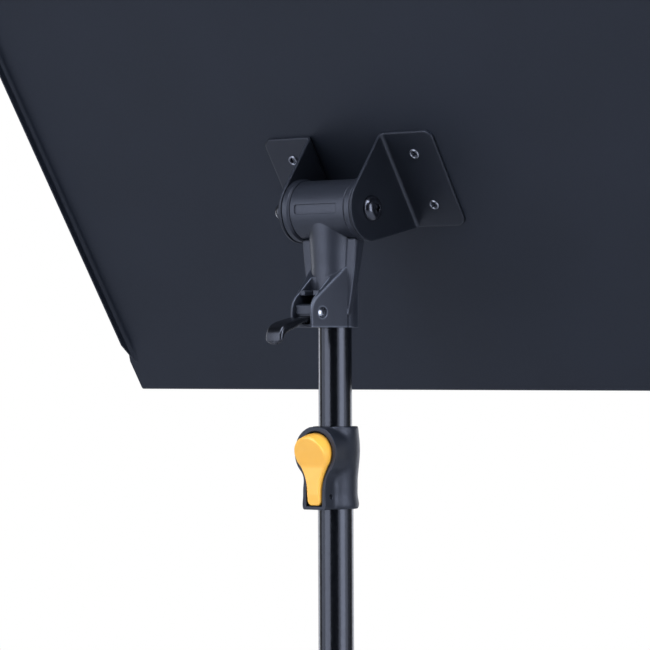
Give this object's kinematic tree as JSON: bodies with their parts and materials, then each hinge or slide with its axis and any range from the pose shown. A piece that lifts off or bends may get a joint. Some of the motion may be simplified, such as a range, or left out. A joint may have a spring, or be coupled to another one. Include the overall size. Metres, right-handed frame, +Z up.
{
  "type": "music stand",
  "caption": "Music stand with a folded sheet-metal desk on a tilting clamp neck, telescopic tube with a squeeze-trigger height clutch and a low swing-leg tripod foot",
  "frame": {"origin": "on the floor, under the axis of the telescopic tube", "axes": "+Z up along the tube; +X to the right seen from behind the desk; +Y towards the reader"},
  "size_m": [0.5456, 0.476, 0.9781],
  "materials": {
    "powder_coated_sheet": "fine matt powder coat",
    "painted_bracket": "satin black paint",
    "painted_tube": "satin-gloss black enamel",
    "moulded_nylon": "fine-textured glass-filled nylon",
    "trigger_plastic": "smooth amber-yellow moulding",
    "lever_plastic": "polished black moulding",
    "cast_zinc": "as-cast grey",
    "black_steel": "black-oxide steel",
    "bright_steel": "zinc-plated steel",
    "plain_nylon": "plain nylon",
    "painted_leg": "satin black powder coat",
    "foot_rubber": "matt rubber"
  },
  "bodies": {
    "base": {"lower_tube": "painted_tube", "clutch_housing": "moulded_nylon", "clutch_ring": "plain_nylon", "trigger_pin": "bright_steel", "trigger_spring": "bright_steel", "star_plate_lower": "painted_leg", "star_plate_upper": "painted_leg", "tube_socket": "painted_leg", "tube_foot_plug": "plain_nylon", "base_bolt": "bright_steel", "base_washer": "bright_steel", "hub_cover": "moulded_nylon", "leg_bolts": "black_steel", "leg_nuts": "bright_steel", "leg_front": "painted_leg", "foot_front": "foot_rubber"},
    "right_leg": {"leg_right": "painted_leg", "foot_right": "foot_rubber"},
    "left_leg": {"leg_left": "painted_leg", "foot_left": "foot_rubber"},
    "squeeze_trigger": {"trigger": "trigger_plastic"},
    "locks": {"lock_plates": "bright_steel"},
    "slider": {"end_glide": "plain_nylon"},
    "mast": {"upper_tube": "painted_tube", "tube_top_plug": "plain_nylon"},
    "tilter": {"neck_moulding": "moulded_nylon", "friction_disc_right": "moulded_nylon", "friction_disc_left": "moulded_nylon", "barrel_sleeve": "bright_steel", "lever_pin": "bright_steel", "brake_shoe": "plain_nylon"},
    "lever": {"lever_paddle": "lever_plastic", "lever_cam": "cast_zinc"},
    "desk": {"desk_panel": "powder_coated_sheet", "bracket_right": "painted_bracket", "bracket_left": "painted_bracket", "bracket_rivets": "bright_steel", "rivet_mandrels": "black_steel", "tilt_bolt": "black_steel", "cap_nut": "black_steel", "disc_springs": "black_steel"}
  },
  "joints": [
    {"name": "right_leg_swing", "type": "hinge", "parent": "base", "child": "right_leg", "pos_m": [0.03637, -0.021, 0.03], "axis": [0, 0, 1], "range_deg": [0, 115]},
    {"name": "left_leg_swing", "type": "hinge", "parent": "base", "child": "left_leg", "pos_m": [-0.03637, -0.021, 0.03], "axis": [0, 0, 1], "range_deg": [-115, 0]},
    {"name": "trigger_squeeze", "type": "hinge", "parent": "base", "child": "squeeze_trigger", "pos_m": [0, -0.0155, 0.6237], "axis": [-1, 0, 0], "range_deg": [0, 7], "stiffness_Nm_per_rad": 0.5, "springref_deg": -5.73, "deforming": ["trigger_spring"]},
    {"name": "lock_release", "type": "hinge", "parent": "base", "child": "locks", "pos_m": [0, 0.012, 0.6467], "axis": [-1, 0, 0], "range_deg": [0, 3.5]},
    {"name": "height_slide", "type": "slide", "parent": "base", "child": "slider", "axis": [0, 0, 1], "range_m": [-0.058, 0.42]},
    {"name": "mast_swivel", "type": "hinge", "parent": "slider", "child": "mast", "pos_m": [0, 0, 0.4], "axis": [0, 0, 1], "continuous": true},
    {"name": "desk_lift_off", "type": "slide", "parent": "mast", "child": "tilter", "axis": [0, 0, 1], "range_m": [0, 0.06]},
    {"name": "clamp_lever", "type": "hinge", "parent": "tilter", "child": "lever", "pos_m": [0, -0.0247, 0.7363], "axis": [-1, 0, 0], "range_deg": [0, 85]},
    {"name": "desk_tilt", "type": "hinge", "parent": "tilter", "child": "desk", "pos_m": [0, 0, 0.8], "axis": [1, 0, 0], "range_deg": [-33, 56]}
  ],
  "couplings": [
    {"joint": "lock_release", "follows": "trigger_squeeze", "ratio": 0.5}
  ]
}
